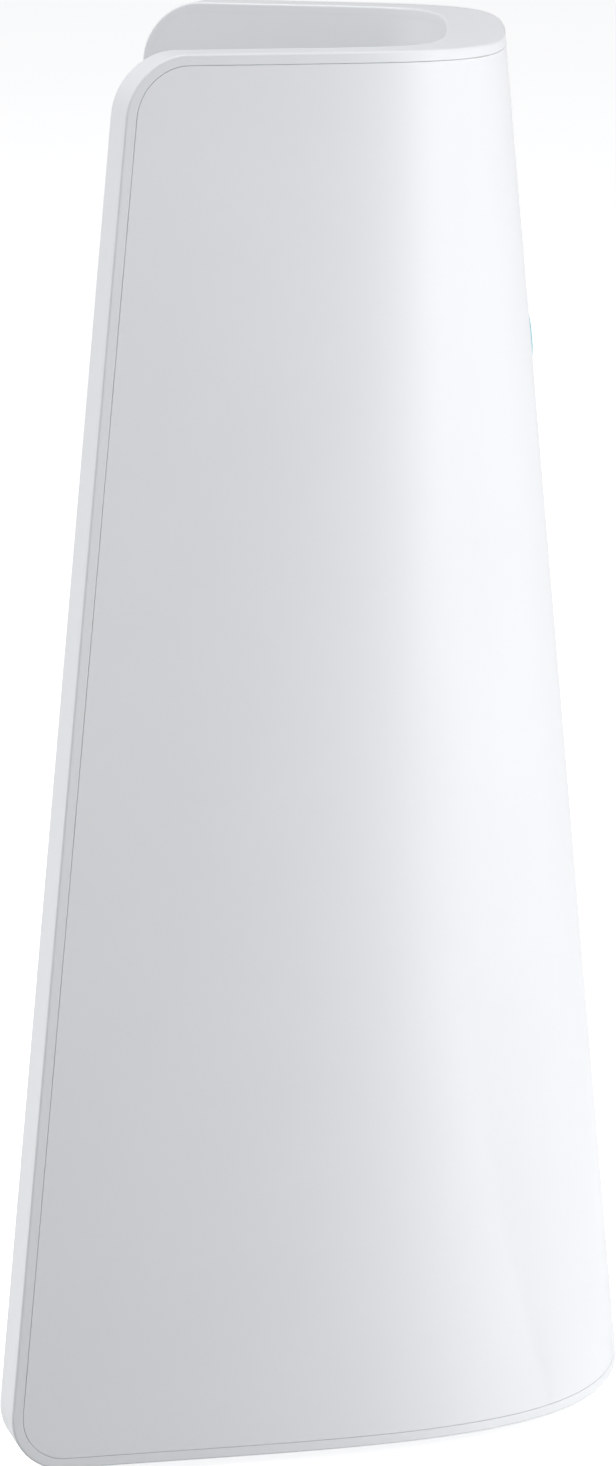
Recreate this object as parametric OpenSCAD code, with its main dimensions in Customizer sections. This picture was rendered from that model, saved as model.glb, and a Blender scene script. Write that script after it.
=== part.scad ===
// Tall mesh wifi node: a thin slab folded into a U, open at the back, with its ports and
// buttons on a housing low inside the fold. Front faces -Y, Z is up, Z = 0 is under the feet.

/* [Body] */
// Height of the body without its feet
body_h = 260; // [220:1:300]
// Height that the feet lift the body by
foot_h = 2; // [1.5:0.1:3]
// Depth of the body at its foot, front to back
depth_low = 117; // [115:0.5:120]
// Half the width across the wing tips at the foot
half_w_low = 78; // [76:0.5:80]
// Half the width across the wing tips at the top
half_w_top = 76; // [74:0.5:78]
// How far the nose leans back over the whole height
nose_lean = 24.8; // [23:0.2:26]
// How far the wing tips lean forward over the whole height
tip_lean = 23.2; // [22:0.2:25]
// Splay of the wings at the foot, in degrees
splay_low = 16; // [14:0.5:17.5]
// Splay of the wings at the top, in degrees
splay_top = 17; // [15:0.5:18]
// Length of the front curve's handle at the foot
nose_pull_low = 60; // [54:1:62]
// Length of the front curve's handle at the top
nose_pull_top = 70; // [66:1:74]
// Length of the wing curve's handle at the foot
wing_pull_low = 62; // [58:1:72]
// Length of the wing curve's handle at the top
wing_pull_top = 60; // [54:1:62]
// Thickness of the slab
slab_t = 11; // [10.5:0.1:12]
// Radius of the wings' upper and lower corners, seen from the side
corner_r = 11; // [9:0.5:13]

/* [Skins] */
// Thickness of the front and rear covers
skin_t = 1.8; // [1.5:0.1:2.2]
// Width of the frame's edge around the covers
rim_w = 2; // [1.6:0.1:2.6]
// Gap between the covers and the frame's edge
seam_gap = 0.15; // [0.1:0.05:0.25]
// How far the frame's ledges reach in behind the covers
ledge_w = 3; // [2:0.5:4]
// Thickness of the frame's ledges
ledge_t = 1.6; // [1.2:0.1:2]

/* [Port housing] */
// Y of the port panel's outer face
panel_y = -16; // [-18:0.5:-14]
// Half the width of the housing
housing_half_w = 48; // [47:0.5:50]
// Height of the housing's top
housing_top = 152; // [148:1:160]
// Height where the panel ends and the sloped back starts
panel_top = 74; // [72:1:80]
// Y of the sloped back at the housing's top
slope_y = -27; // [-29:0.5:-26]
// Wall thickness of the housing
wall = 2; // [1.6:0.1:2.4]
// Vent slots in the sloped back
vent_count = 9; // [5:1:11]

/* [Ports] */
// Height of the row of jacks
jack_z = 27; // [25:0.5:30]
// Distance between neighbouring network jacks
jack_pitch = 18.5; // [17.5:0.5:19]
// X of the network jack nearest the power jack
jack_x = -13; // [-14:0.5:-12]
// X of the power jack
power_x = -33; // [-34:0.5:-32.5]
// Radius of the power jack's bore
power_bore_r = 3.1; // [3:0.05:3.3]
// Radius of the power jack's centre pin
power_pin_r = 1.05; // [0.95:0.05:1.2]

/* [Buttons] */
// Height of the row of buttons
button_z = 54; // [50:1:58]
// Radius of the power and sync buttons
button_r = 4; // [3.5:0.1:4.5]
// Gap between a button and its hole
button_gap = 0.25; // [0.2:0.05:0.35]
// Travel of the latching power button
power_travel = 1.5; // [1:0.1:1.6]
// Travel of the sync button
sync_travel = 0.6; // [0.3:0.1:1]
// Travel of the reset button
reset_travel = 0.5; // [0.3:0.1:0.8]
// Radius of the reset pinhole
pinhole_r = 1; // [0.8:0.1:1.3]

/* [Status light] */
// Height of the light above the feet
light_z = 203.5; // [190:0.5:210]
// Radius of the light's lens
light_r = 4; // [3.4:0.1:4.6]

/* [Hidden] */

$fn = 48;
eps = 0.01;
body_z0 = foot_h;
body_z1 = foot_h + body_h;

grid_half = 14;     // columns on each half of a skin
grid_t = 0.93;      // curve parameter where the regular columns end
arc_step = 18;      // degrees between points on a corner

// Y of the nose and of the wing tips, which puts the foot's outline around Y = 0
nose_y0 = -depth_low / 2;
tip_u = corner_r / body_h;
tip_y0 = (depth_low / 2 - slab_t * sin(splay_low) + tip_u * tip_lean);

function mix(a, b, u) = a + (b - a) * u;
function height_u(z) = (z - body_z0) / body_h;
function nose_y(u) = nose_y0 + nose_lean * u;
function splay(u) = mix(splay_low, splay_top, u);
function wing_pull(u) = mix(wing_pull_low, wing_pull_top, u);
function tip(u) = [mix(half_w_low, half_w_top, u), tip_y0 - tip_lean * u];
function wing_dir(u) = [sin(splay(u)), cos(splay(u))];

// Control points of the right half of the outer plan curve at height fraction u
function controls(u) = [
    [0, nose_y(u)],
    [mix(nose_pull_low, nose_pull_top, u), nose_y(u)],
    tip(u) - wing_pull(u) * wing_dir(u),
    tip(u)
];
function curve(c, t) =
    pow(1 - t, 3) * c[0] + 3 * pow(1 - t, 2) * t * c[1] + 3 * (1 - t) * t * t * c[2] + pow(t, 3) * c[3];
function slope(c, t) =
    3 * pow(1 - t, 2) * (c[1] - c[0]) + 6 * (1 - t) * t * (c[2] - c[1]) + 3 * t * t * (c[3] - c[2]);

// Point of the slab: t from -1 at the left wing tip to 1 at the right, height z, depth d from outside
function slab_point(t, z, d) =
    let (u = height_u(z), c = controls(u), p = curve(c, abs(t)), v = slope(c, abs(t)),
         inward = [-v.y, v.x] / norm(v), q = p + d * inward, side = t < 0 ? -1 : 1)
    [side * q.x, q.y, z];

// Curve parameter of a point that lies back mm short of the wing tip
function t_short(z, back) = 1 - back / (3 * wing_pull(height_u(z)));

// Curve parameter of the rounded end of a skin that is inset by g
function end_t(z, g) =
    let (r = corner_r - g, rise = min(z - body_z0 - g, body_z1 - g - z),
         round_off = rise < r ? r - sqrt(max(0, r * r - pow(r - rise, 2))) : 0)
    t_short(z, g + round_off);

function corner_rises(g) = [for (a = [0:arc_step:90]) (corner_r - g) * (1 - cos(a))];
function levels(g) =
    let (rises = corner_rises(g), last = len(rises) - 1)
    concat([for (r = rises) body_z0 + g + r], [body_z0 + body_h / 2],
           [for (i = [0:last]) body_z1 - g - rises[last - i]]);
function column_t(i, z, g) =
    abs(i) == grid_half ? sign(i) * end_t(z, g) : i / grid_half * grid_t;
function skin_ring(z, g, d0, d1) = concat(
    [for (i = [-grid_half:grid_half]) slab_point(column_t(i, z, g), z, d0)],
    [for (i = [-grid_half:grid_half]) slab_point(column_t(-i, z, g), z, d1)]);

// Triangles that join rows of n points each into a tube
function tube_faces(rows, n) = [
    for (j = [0:rows - 2], i = [0:n - 1])
        let (a = j * n + i, b = j * n + (i + 1) % n)
        each [[a, a + n, b], [b, a + n, b + n]]
];

// A solid through rings that each run one way along the front and back along the rear. The ends are
// closed by pairing the points across each ring, so a bent ring closes without crossing its hollow
module ring_solid(rings) {
    n = len(rings[0]);
    last = (len(rings) - 1) * n;
    strip = [for (i = [0:n / 2 - 2]) each [[i, i + 1, n - 1 - i], [i + 1, n - 2 - i, n - 1 - i]]];
    polyhedron(
        points = [for (r = rings) each r],
        faces = concat(strip, [for (f = strip) [last + f[2], last + f[1], last + f[0]]],
                       tube_faces(len(rings), n)));
}

// A skin of the slab, inset by g from its edges, from depth d0 to depth d1
module skin(g, d0, d1) {
    ring_solid([for (z = levels(g)) skin_ring(z, g, d0, d1)]);
}

// Points around the slab's edge at inset g, as [t, z]
function edge_right(g) =
    let (r = corner_r - g, turn = [for (a = [0:arc_step:90]) [corner_r - r * sin(a), r * (1 - cos(a))]],
         last = len(turn) - 1,
         low = [for (p = turn) [p[0], body_z0 + g + p[1]]],
         high = [for (i = [0:last]) [turn[last - i][0], body_z1 - g - turn[last - i][1]]])
    [for (p = concat(low, high)) [t_short(p[1], p[0]), p[1]]];
function edge_loop(g) =
    let (right = edge_right(g), last = len(right) - 1, m = grid_half - 1)
    concat(
        [for (i = [-m:m]) [i / grid_half * grid_t, body_z0 + g]],
        right,
        [for (i = [m:-1:-m]) [i / grid_half * grid_t, body_z1 - g]],
        [for (i = [last:-1:0]) [-right[i][0], right[i][1]]]);

// Cross-section of the frame, as [inset, depth]: a channel whose two ledges back the covers
ledge_w1 = rim_w + ledge_w;
front_ledge = skin_t + 0.1;
rear_ledge = slab_t - front_ledge;
rim_section = [
    [0, 0], [rim_w, 0], [rim_w, front_ledge], [ledge_w1, front_ledge],
    [ledge_w1, front_ledge + ledge_t], [rim_w, front_ledge + ledge_t],
    [rim_w, rear_ledge - ledge_t], [ledge_w1, rear_ledge - ledge_t],
    [ledge_w1, rear_ledge], [rim_w, rear_ledge], [rim_w, slab_t], [0, slab_t]
];

// A closed tube around the slab's edge
module edge_tube(section) {
    loops = [for (s = section) [for (p = edge_loop(s[0])) slab_point(p[0], p[1], s[1])]];
    n = len(section);
    count = len(loops[0]);
    polyhedron(
        points = [for (j = [0:count - 1], k = [0:n - 1]) loops[k][j]],
        faces = [
            for (j = [0:count - 1], k = [0:n - 1])
                let (a = j * n + k, b = j * n + (k + 1) % n,
                     c = ((j + 1) % count) * n + k, d = ((j + 1) % count) * n + (k + 1) % n)
                each [[a, b, c], [b, d, c]]
        ]);
}

// Everything in front of depth d, across the middle of the slab
module nose_block(d) {
    reach = 0.7;
    steps = 14;
    front_y = nose_y0 - 20;
    ring_solid([for (z = [body_z0 - 5, housing_top + 10]) concat(
        [for (i = [-steps:steps]) [i / steps * (housing_half_w + 40), front_y, z]],
        [for (i = [-steps:steps]) slab_point(-reach * i / steps, z, d)])]);
}

// Places its children on the nose at the light, with +Z pointing out of the cover
module at_light() {
    lean = atan(nose_lean / body_h);
    translate([0, nose_y(height_u(light_z)), light_z]) rotate([90 - lean, 0, 0]) children();
}

// Places its children at (x, y, z) with +Z pointing to the rear
module facing_rear(x, y, z) {
    translate([x, y, z]) rotate([-90, 0, 0]) children();
}

// A box given by its centre in X and Z and its span in Y
module slab_box(x, z, w, h, y0, y1) {
    translate([x - w / 2, y0, z - h / 2]) cube([w, y1 - y0, h]);
}

// ---- Casing ----

light_hole_gap = 0.1;
drill_spare = 3;    // how far a drill reaches past what it cuts

module front_cover() {
    color("#f4f5f7") difference() {
        skin(rim_w + seam_gap, 0, skin_t);
        at_light() translate([0, 0, -skin_t - drill_spare])
            cylinder(r = light_r + light_hole_gap, h = skin_t + 2 * drill_spare);
    }
}

module rim_frame() {
    color("#e4e6e8") edge_tube(rim_section);
}

// Screws that hold the port housing onto the rear cover
boss_x = 42.5;
boss_zs = [12, 63];
boss_r = 3;
boss_bore_r = 1.2;
boss_y = panel_y - wall - 0.2;
boss_t = 0.45;      // curve parameter of the slab behind the bosses
window_half_w = 38.5;
window_z0 = 9;
window_z1 = 146;

module rear_cover() {
    color("#eceef0") difference() {
        union() {
            skin(rim_w + seam_gap, slab_t - skin_t, slab_t);
            for (x = [-boss_x, boss_x], z = boss_zs) {
                foot = slab_point(boss_t, z, slab_t).y;
                facing_rear(x, foot - 1, z) cylinder(r = boss_r, h = boss_y - foot + 1);
            }
        }
        translate([-window_half_w, nose_y0, window_z0])
            cube([2 * window_half_w, depth_low / 2, window_z1 - window_z0]);
        for (x = [-boss_x, boss_x], z = boss_zs)
            facing_rear(x, boss_y - 9, z) cylinder(r = boss_bore_r, h = 20);
    }
}

// The housing's outline seen from the side and from the back, inset by g
module housing_block(g) {
    intersection() {
        rotate([90, 0, 90]) translate([0, 0, -housing_half_w - 1]) linear_extrude(2 * housing_half_w + 2)
            polygon([
                [nose_y0, body_z0 + g], [panel_y - g, body_z0 + g], [panel_y - g, panel_top],
                [slope_y - g, housing_top - g], [nose_y0, housing_top - g]
            ]);
        translate([0, depth_low / 2, 0]) rotate([90, 0, 0]) linear_extrude(depth_low)
            housing_face(g);
    }
}

module housing_face(g) {
    top_r = 14 - g;
    top_half_w = housing_half_w - 3 - g;
    low_half_w = housing_half_w - g;
    top_z = housing_top - g;
    polygon(concat(
        [[-low_half_w, body_z0 + g], [low_half_w, body_z0 + g]],
        [for (a = [0:15:90]) [top_half_w - top_r + top_r * cos(a), top_z - top_r + top_r * sin(a)]],
        [for (a = [90:15:180]) [-top_half_w + top_r + top_r * cos(a), top_z - top_r + top_r * sin(a)]]));
}

jack_w = 16.2;
jack_h = 13.6;
jack_fit = 0.2;
jack_xs = [for (i = [0:2]) jack_x + i * jack_pitch];
jack_face_y = panel_y - 0.6;
jack_len = 16;
board_y1 = jack_face_y - jack_len;
board_t = 1.6;
board_y0 = board_y1 - board_t;
board_half_w = 36;
board_z0 = 10;
board_z1 = 140;
post_x = 32.5;
post_zs = [14.5, 134];
post_r = 2.8;
power_collar_r = 4.8;
power_button_x = power_x;
sync_x = -4;
reset_x = 24;
flange_t = 1;
flange_r = button_r + 1.2;
vent_pitch = 6;
vent_h = 2;
vent_w = 56;
vent_z0 = 90;
label_x = -17;
label_z = 8.4;
label_w = 44;
label_h = 9;

module housing_holes() {
    for (x = jack_xs)
        slab_box(x, jack_z, jack_w + 2 * jack_fit, jack_h + 2 * jack_fit, panel_y - 8, panel_y + 5);
    facing_rear(power_x, panel_y - 8, jack_z) cylinder(r = power_collar_r + jack_fit, h = 13);
    for (x = [power_button_x, sync_x])
        facing_rear(x, panel_y - 8, button_z) cylinder(r = button_r + button_gap, h = 13);
    facing_rear(reset_x, panel_y - 8, button_z) cylinder(r = pinhole_r, h = 13);
    for (x = [-boss_x, boss_x], z = boss_zs) facing_rear(x, panel_y - 8, z) {
        cylinder(r = 1.6, h = 13);
        translate([0, 0, 8 - 0.8]) cylinder(r = 2.8, h = 5);
    }
    for (i = [0:vent_count - 1])
        slab_box(0, vent_z0 + i * vent_pitch, vent_w, vent_h, panel_y - 25, panel_y + 5);
    for (i = [-3:3]) translate([i * 10 - 1, -46, body_z0 - 1]) cube([2, 22, wall + 2]);
}

module port_housing() {
    color("#e9ebed") difference() {
        union() {
            difference() {
                housing_block(0);
                housing_block(wall);
                housing_holes();
            }
            intersection() {
                housing_block(wall / 2);
                for (x = [-post_x, post_x], z = post_zs)
                    facing_rear(x, board_y1, z) cylinder(r = post_r, h = panel_y - board_y1);
            }
        }
        nose_block(slab_t + 0.25);
        for (x = [-post_x, post_x], z = post_zs)
            facing_rear(x, board_y1 - 1, z) cylinder(r = 1.75, h = 6);
    }
}

// Two feet under the wing tips and two under the front, as [curve parameter, share of the slab's depth]
foot_r = 3;
foot_chamfer = 0.45;
foot_spots = [
    for (f = [[-0.93, 0.5], [-0.2, 0.6], [0.2, 0.6], [0.93, 0.5]]) slab_point(f[0], body_z0, f[1] * slab_t)
];

module rubber_feet() {
    color("#9da1a4") for (p = foot_spots) translate([p.x, p.y, 0]) {
        cylinder(r1 = foot_r - foot_chamfer, r2 = foot_r, h = foot_chamfer);
        translate([0, 0, foot_chamfer]) cylinder(r = foot_r, h = foot_h - foot_chamfer);
    }
}

module label_plate() {
    color("#d7dadc")
        slab_box(label_x, label_z, label_w, label_h, panel_y + 0.02, panel_y + 0.3);
}

// ---- Status light ----
// Heights here are measured outward from the cover's outer face

led_board_z = -7;
led_board_t = 1;
led_board_size = [16, 14];
led_size = [3.5, 2.8, 1.1];
lens_flange_w = 1.2;
lens_flange_t = 0.9;
lens_flange_z = -2.9;
lens_proud = 0.25;
shroud_z = led_board_z + led_board_t;
shroud_bore_gap = 0.4;
shroud_w = 2;

module status_lens() {
    color("#7fe3f2") at_light() {
        translate([0, 0, lens_flange_z]) cylinder(r = light_r + lens_flange_w, h = lens_flange_t);
        translate([0, 0, lens_flange_z]) cylinder(r = light_r, h = lens_proud - lens_flange_z);
    }
}

module light_shroud() {
    color("#2c2f33") at_light() difference() {
        translate([0, 0, shroud_z]) cylinder(r = light_r + shroud_w, h = lens_flange_z - 0.05 - shroud_z);
        translate([0, 0, led_board_z]) cylinder(r = light_r + shroud_bore_gap, h = -led_board_z);
    }
}

module light_board() {
    color("#1f6b4a") at_light() translate([-led_board_size.x / 2, -led_board_size.y / 2, led_board_z])
        cube([led_board_size.x, led_board_size.y, led_board_t]);
}

module status_led() {
    color("#f2efe2") at_light() translate([-led_size.x / 2, -led_size.y / 2, shroud_z]) cube(led_size);
}

// Flat ribbon from the light's board down to the main board
ribbon_w = 6;
ribbon_t = 0.3;

module light_ribbon() {
    top = light_z - 8.5;
    low = 142;
    route = [
        [slab_point(0, top, 6.3).y, top],
        [slab_point(0, low + 14, 6.3).y, low + 14],
        [board_y0 - 4, low + 4],
        [board_y0 - 1.2, low - 4],
        [board_y0 - 1.2, low - 9]
    ];
    color("#d9b26a") translate([-ribbon_w / 2, 0, 0]) rotate([90, 0, 90]) linear_extrude(ribbon_w)
        polygon(concat(route, [for (i = [len(route) - 1:-1:0]) route[i] - [ribbon_t, 0]]));
}

// ---- Electronics ----

module main_board() {
    color("#1d6a48") difference() {
        slab_box(0, (board_z0 + board_z1) / 2, 2 * board_half_w, board_z1 - board_z0, board_y0, board_y1);
        for (x = [-post_x, post_x], z = post_zs)
            facing_rear(x, board_y0 - 1, z) cylinder(r = 1.5, h = board_t + 2);
        for (x = [-sink_screw_x, sink_screw_x], z = sink_screw_zs)
            facing_rear(x, board_y0 - 1, z) cylinder(r = 1.2, h = board_t + 2);
    }
}

// Chips stand on the front face of the board, as [x, z, w, h]
chip_t = 1.4;
pad_t = 0.5;
processors = [[0, 92, 19, 19], [-20, 66, 10, 10], [20, 66, 10, 10]];
memories = [[-21, 92, 9, 13], [21, 92, 9, 13]];
cans = [[-17, 32, 26, 30], [17, 32, 26, 30]];
sink_screw_x = 28;
sink_screw_zs = [58, 104];
sink_y1 = board_y0 - chip_t - pad_t;
sink_base = 2;
fin_h = 4;
fin_t = 1.1;
fin_count = 11;
sink_w = 62;
sink_z0 = 53;
sink_z1 = 109;

module chip_row(chips, t) {
    for (c = chips) slab_box(c[0], c[1], c[2], c[3], board_y0 - t, board_y0);
}

module processor_chips() {
    color("#26282b") chip_row(processors, chip_t);
}

module memory_chips() {
    color("#2d2f33") chip_row(memories, 1.1);
}

module thermal_pads() {
    color("#9fb7c9") for (c = processors)
        slab_box(c[0], c[1], c[2], c[3], sink_y1, board_y0 - chip_t);
}

module shield_cans() {
    color("#b9bcbf") for (c = cans) difference() {
        slab_box(c[0], c[1], c[2], c[3], board_y0 - 2.4, board_y0);
        slab_box(c[0], c[1], c[2] - 0.6, c[3] - 0.6, board_y0 - 2.1, board_y0 + 1);
    }
}

module heat_sink() {
    pitch = (sink_w - fin_t) / (fin_count - 1);
    mid_z = (sink_z0 + sink_z1) / 2;
    color("#a9adb1") difference() {
        union() {
            slab_box(0, mid_z, sink_w, sink_z1 - sink_z0, sink_y1 - sink_base, sink_y1);
            for (i = [0:fin_count - 1])
                slab_box(-sink_w / 2 + fin_t / 2 + i * pitch, mid_z, fin_t, sink_z1 - sink_z0,
                         sink_y1 - sink_base - fin_h, sink_y1 - sink_base + eps);
        }
        for (x = [-sink_screw_x, sink_screw_x], z = sink_screw_zs) {
            slab_box(x, z, 7, 7, sink_y1 - sink_base - fin_h - 1, sink_y1 - sink_base);
            facing_rear(x, sink_y1 - sink_base - 1, z) cylinder(r = 1.25, h = sink_base + 2);
        }
    }
}

// Coupling modules between the network jacks and the processor, on the rear face of the board
module lan_magnetics() {
    color("#303338") for (x = jack_xs)
        slab_box(x, jack_z - 12, 11, 7, board_y1, board_y1 + 4.5);
}

module capacitors() {
    color("#3b3f45") for (p = [[-27, 86, 4], [-18, 86, 4], [-27, 97, 3.1], [27, 86, 3.1], [27, 95, 3.1]])
        facing_rear(p[0], board_y1, p[1]) cylinder(r = p[2], h = 6);
}

// ---- Ports ----

socket_w = 12;
socket_h = 8.4;
socket_deep = 13;
latch_w = 6.2;
latch_h = 2.6;
socket_z = jack_z + 0.6;

module network_jack(x) {
    difference() {
        slab_box(x, jack_z, jack_w, jack_h, board_y1, jack_face_y);
        slab_box(x, socket_z, socket_w, socket_h, jack_face_y - socket_deep, jack_face_y + 1);
        slab_box(x, socket_z - (socket_h + latch_h) / 2 + eps, latch_w, latch_h,
                 jack_face_y - socket_deep, jack_face_y + 1);
    }
}

module wan_jack() {
    color("#5b86b8") network_jack(jack_xs[0]);
}

module lan_jacks() {
    color("#d9a43a") for (i = [1, 2]) network_jack(jack_xs[i]);
}

module jack_contacts() {
    contact_pitch = 1.02;
    color("#d6b24c") for (x = jack_xs, i = [0:7])
        slab_box(x + (i - 3.5) * contact_pitch, socket_z + socket_h / 2 - 0.55, 0.45, 1.1,
                 jack_face_y - socket_deep, jack_face_y - 2.2);
}

power_bore_len = 11;

module power_jack() {
    color("#25272a") difference() {
        union() {
            slab_box(power_x, jack_z, 10.4, 11, board_y1, panel_y - wall - 0.4);
            facing_rear(power_x, board_y1, jack_z) cylinder(r = power_collar_r, h = jack_len + 0.2);
        }
        facing_rear(power_x, jack_face_y - power_bore_len, jack_z)
            cylinder(r = power_bore_r, h = power_bore_len + 5);
    }
}

module power_jack_pin() {
    color("#c9ccd0") facing_rear(power_x, jack_face_y - power_bore_len, jack_z)
        cylinder(r = power_pin_r, h = power_bore_len - 1.5);
}

// ---- Buttons ----
// A cap sits in the panel with a flange behind it; its stem runs in the switch's bore

cap_proud = 1.8;
flange_y = panel_y - wall - 0.3;
switch_face_y = board_y1 + 8;
stem_r = 1.5;
stem_gap = 0.25;
stem_in = 2;
bore_spare = 1;     // depth left under a pressed stem

module button(x, r, front_r, face_y, flange_y1) {
    facing_rear(x, flange_y1 - flange_t, button_z) cylinder(r = r, h = flange_t);
    facing_rear(x, flange_y1 - eps, button_z) cylinder(r = front_r, h = face_y - flange_y1 + eps);
    facing_rear(x, switch_face_y - stem_in, button_z)
        cylinder(r = stem_r, h = flange_y1 - flange_t - switch_face_y + stem_in + eps);
}

module power_button() {
    color("#dfe2e4") button(power_button_x, flange_r, button_r, panel_y + cap_proud, flange_y);
}

module sync_button() {
    color("#dfe2e4") button(sync_x, flange_r, button_r, panel_y + 0.7, flange_y);
}

module reset_button() {
    color("#c2c5c8") button(reset_x, 2.2, 1.8, flange_y + 0.05, flange_y);
}

module tact_switches() {
    color("#33363a") for (s = [[power_button_x, power_travel], [sync_x, sync_travel], [reset_x, reset_travel]])
        let (bore_deep = stem_in + s[1] + bore_spare) difference() {
            slab_box(s[0], button_z, 7, 7, board_y1, switch_face_y);
            facing_rear(s[0], switch_face_y - bore_deep, button_z)
                cylinder(r = stem_r + stem_gap, h = bore_deep + 1);
        }
}

// ---- Antennas ----
// Flat antenna boards stand in the space between the covers, as [t, z, length along wing, height]

antenna_d = 5.2;
antenna_t = 0.8;
low_band = [[-0.8, 208, 13, 52], [0.8, 208, 13, 52]];
high_band = [[-0.8, 130, 11, 30], [0.8, 130, 11, 30], [-0.72, 60, 11, 30], [0.72, 60, 11, 30]];
backhaul = [[-0.33, 225, 11, 26], [0.33, 225, 11, 26]];

// Heading of the slab's surface at t, in degrees from the X axis
function heading(t, z) = let (v = slope(controls(height_u(z)), abs(t))) atan2(v.y, v.x) * (t < 0 ? -1 : 1);

// How far the slab's surface leans inward at (t, z), in degrees
function inward_lean(t, z) =
    let (h = heading(t, z), rise = slab_point(t, z + 10, 0) - slab_point(t, z - 10, 0))
    atan2(cos(h) * rise.y - sin(h) * rise.x, 20);

// Places its children in the slab, with X along the wing, Y inward and Z up the surface
module on_slab(t, z, d) {
    translate(slab_point(t, z, d)) rotate([0, 0, heading(t, z)]) rotate([-inward_lean(t, z), 0, 0])
        children();
}

module antenna_set(set) {
    for (a = set) on_slab(a[0], a[1], antenna_d)
        translate([-a[2] / 2, -antenna_t / 2, -a[3] / 2]) cube([a[2], antenna_t, a[3]]);
}

module low_band_antennas() {
    color("#20242a") antenna_set(low_band);
}

module high_band_antennas() {
    color("#2a2f36") antenna_set(high_band);
}

module backhaul_antennas() {
    color("#242a33") antenna_set(backhaul);
}

// Two posts behind each antenna hold it off the rear cover
module antenna_holders() {
    color("#cfd2d5") for (a = concat(low_band, high_band, backhaul), s = [-1, 1])
        on_slab(a[0], a[1], antenna_d)
            translate([-2, antenna_t / 2, s * a[3] * 0.3 - 2]) cube([4, 2.6, 4]);
}

// Each lead runs forward from its antenna at the antenna's own height, then up or down beside the
// others to its plug on the board's front face
lead_r = 0.6;
lead_sides = 6;
lead_d = 3.6;
plug_z = 118;
all_antennas = concat(low_band, high_band, backhaul);
run_order = [1, 1, 2, 2, 3, 3, 0, 0];

function run_t(i) = sign(all_antennas[i][0]) * (0.04 + 0.035 * run_order[i]);
function plug_spot(i) = [slab_point(run_t(i), plug_z, 0).x, board_y0, plug_z];
function lead_route(i) =
    let (a = all_antennas[i], side = sign(a[0]), from = a[0] - side * 0.09, to = run_t(i) + side * 0.03,
         p = plug_spot(i), way = sign(a[1] - plug_z))
    concat(
        [slab_point(a[0] - side * 0.03, a[1], antenna_d - antenna_t / 2 - lead_r - 0.1)],
        [for (k = [0:5]) slab_point(mix(from, to, k / 5), a[1], lead_d)],
        [for (dz = [2, 8]) slab_point(run_t(i) + (dz < 4 ? side * 0.008 : 0), a[1] - way * dz, lead_d)],
        [for (dz = [14, 9]) slab_point(run_t(i), plug_z + way * dz, lead_d + (14 - dz) * 0.3)],
        [p + [0, -3.4, way * 2.2], p + [0, -2.1, way * 0.9]]);

// A round tube through a list of points
module lead(path) {
    n = len(path);
    function dir(i) = let (v = path[min(i + 1, n - 1)] - path[max(i - 1, 0)]) v / norm(v);
    function across(i) = let (c = cross(dir(i), [0, 1, 0])) c / norm(c);
    turns = [for (k = [0:lead_sides - 1]) k * 360 / lead_sides];
    rings = [for (i = [0:n - 1]) let (a = across(i), b = cross(dir(i), a))
        [for (w = turns) path[i] + lead_r * (cos(w) * a + sin(w) * b)]];
    polyhedron(
        points = [for (r = rings) each r],
        faces = concat([[for (i = [0:lead_sides - 1]) i]],
                       [[for (i = [lead_sides - 1:-1:0]) (n - 1) * lead_sides + i]],
                       tube_faces(n, lead_sides)));
}

module coax_leads() {
    color("#4a4d52") for (i = [0:len(all_antennas) - 1]) lead(lead_route(i));
}

module coax_plugs() {
    color("#d3b45a") for (i = [0:len(all_antennas) - 1])
        facing_rear(plug_spot(i).x, board_y0 - 1.6, plug_spot(i).z) cylinder(r = 1.4, h = 1.6);
}

// ---- Fasteners ----

// A pan-head screw with a driver recess, head towards +Z
module screw(shaft_r, length, head_r, head_h) {
    difference() {
        union() {
            translate([0, 0, -length]) cylinder(r = shaft_r, h = length);
            cylinder(r = head_r, h = head_h);
        }
        translate([0, 0, head_h * 0.4]) for (a = [0, 90]) rotate([0, 0, a])
            translate([-head_r * 0.6, -0.25, 0]) cube([head_r * 1.2, 0.5, head_h]);
    }
}

module threaded_inserts() {
    color("#c8a24a") for (x = [-post_x, post_x], z = post_zs)
        facing_rear(x, board_y1 + 0.1, z) difference() {
            cylinder(r = 1.75, h = 4.6);
            translate([0, 0, -1]) cylinder(r = 1.25, h = 7);
        }
}

module board_screws() {
    color("#b4b7bb") for (x = [-post_x, post_x], z = post_zs)
        translate([x, board_y0, z]) rotate([90, 0, 0]) screw(1.25, 5, 2.4, 1.3);
}

module housing_screws() {
    color("#b4b7bb") for (x = [-boss_x, boss_x], z = boss_zs)
        facing_rear(x, panel_y - 0.8, z) screw(1.2, 8, 2.6, 0.75);
}

module heat_sink_screws() {
    color("#b4b7bb") for (x = [-sink_screw_x, sink_screw_x], z = sink_screw_zs)
        translate([x, sink_y1 - sink_base, z]) rotate([90, 0, 0]) screw(1.2, 5.3, 2.2, 1.2);
}

front_cover();
rim_frame();
rear_cover();
port_housing();
rubber_feet();
label_plate();
status_lens();
light_shroud();
light_board();
status_led();
light_ribbon();
main_board();
heat_sink();
thermal_pads();
processor_chips();
memory_chips();
shield_cans();
lan_magnetics();
capacitors();
wan_jack();
lan_jacks();
jack_contacts();
power_jack();
power_jack_pin();
tact_switches();
power_button();
sync_button();
reset_button();
low_band_antennas();
high_band_antennas();
backhaul_antennas();
antenna_holders();
coax_leads();
coax_plugs();
threaded_inserts();
board_screws();
housing_screws();
heat_sink_screws();
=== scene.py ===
"""Looks of a tall mesh wifi node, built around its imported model.

Metres, in the model's own frame: the front faces -Y, Z is up and Z = 0 is under the feet.
"""
import math

import bmesh
import bpy
import numpy as np
from mathutils import Matrix, Vector


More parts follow.
